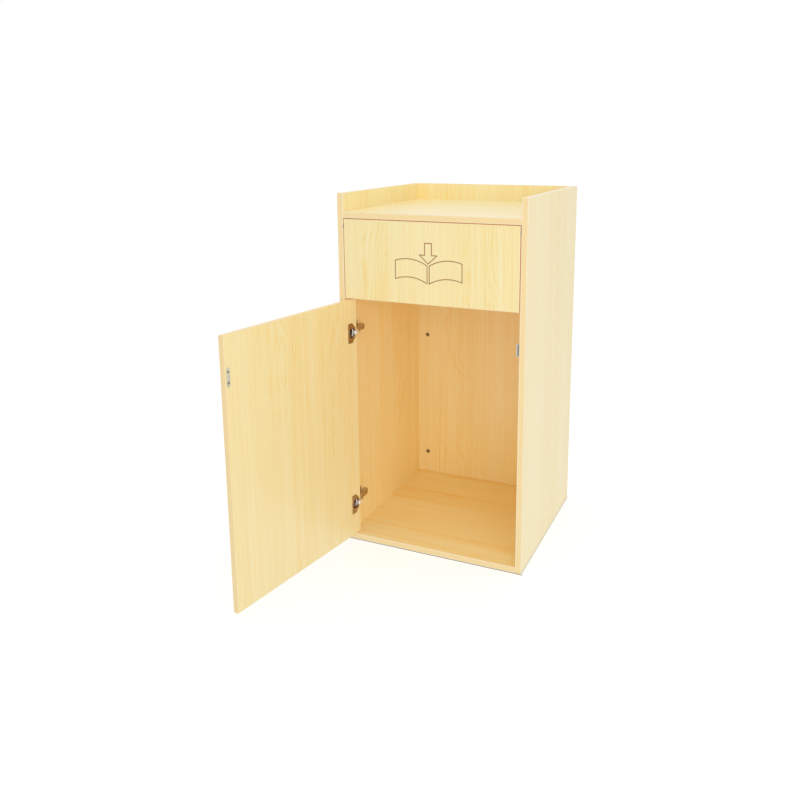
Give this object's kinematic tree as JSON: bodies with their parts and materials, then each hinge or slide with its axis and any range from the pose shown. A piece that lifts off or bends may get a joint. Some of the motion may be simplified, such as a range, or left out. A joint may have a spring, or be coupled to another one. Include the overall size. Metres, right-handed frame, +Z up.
{
  "type": "book drop box",
  "caption": "Free-standing board cabinet with a raised-rim tray top, an inward-swinging drop flap and a hinged front door on concealed cup hinges.",
  "frame": {"origin": "centre of the cabinet's footprint on the floor, under the bottom panel; the open door isn't counted", "axes": "+Z up; the front faces -Y; +X to the right seen from the front"},
  "size_m": [0.6633, 1.124, 1.145],
  "materials": {
    "laminate": "pale maple laminate with a fine vertical grain, satin",
    "edge_band": "maple edge band, satin",
    "beech": "raw beech",
    "dark_zinc": "bronzed die-cast zinc",
    "plated_steel": "zinc plated steel",
    "nickel": "nickel plated pressed steel",
    "nylon": "natural nylon",
    "catch_plastic": "grey moulded plastic",
    "magnet": "sintered ferrite"
  },
  "bodies": {
    "cabinet": {"left_side_panel": "laminate", "right_side_panel": "laminate", "back_panel": "laminate", "bottom_panel": "laminate", "tray_shelf": "laminate", "left_side_edge_bands": "edge_band", "right_side_edge_bands": "edge_band", "back_panel_edge_band": "edge_band", "bottom_panel_edge_band": "edge_band", "tray_shelf_edge_band": "edge_band", "cam_locks": "dark_zinc", "cam_bolts": "plated_steel", "wooden_dowels": "beech", "flap_pivot_bushes": "nylon", "flap_stop_pins": "nylon", "upper_hinge_arm": "nickel", "lower_hinge_arm": "nickel", "upper_hinge_plate": "nickel", "lower_hinge_plate": "nickel", "hinge_arm_pins": "plated_steel", "hinge_arm_screws": "nickel", "hinge_plate_screws": "nickel", "catch_housing": "catch_plastic", "catch_pole_plates": "plated_steel", "catch_magnet": "magnet", "catch_screws": "plated_steel"},
    "door": {"door_panel": "laminate", "door_edge_bands": "edge_band", "upper_hinge_cup": "nickel", "lower_hinge_cup": "nickel", "hinge_cup_screws": "nickel", "strike_plate": "plated_steel", "strike_plate_screws": "plated_steel"},
    "hinge_links": {"upper_hinge_link": "nickel", "lower_hinge_link": "nickel"},
    "flap": {"flap_panel": "laminate", "flap_edge_bands": "edge_band", "flap_pivot_pins": "plated_steel"}
  },
  "joints": [
    {"name": "door_swing", "type": "hinge", "parent": "cabinet", "child": "door", "pos_m": [-0.2685, -0.2855, 0.418], "axis": [0, 0, 1], "range_deg": [-6.3, 98.7]},
    {"name": "hinge_link_swing", "type": "hinge", "parent": "cabinet", "child": "hinge_links", "pos_m": [-0.2683, -0.2626, 0.418], "axis": [0, 0, 1], "range_deg": [-1.2, 17.6]},
    {"name": "flap_swing", "type": "hinge", "parent": "cabinet", "child": "flap", "pos_m": [0, -0.284, 1.044], "axis": [1, 0, 0], "range_deg": [0, 70]}
  ],
  "couplings": [
    {"joint": "hinge_link_swing", "follows": "door_swing", "ratio": 0.177}
  ]
}
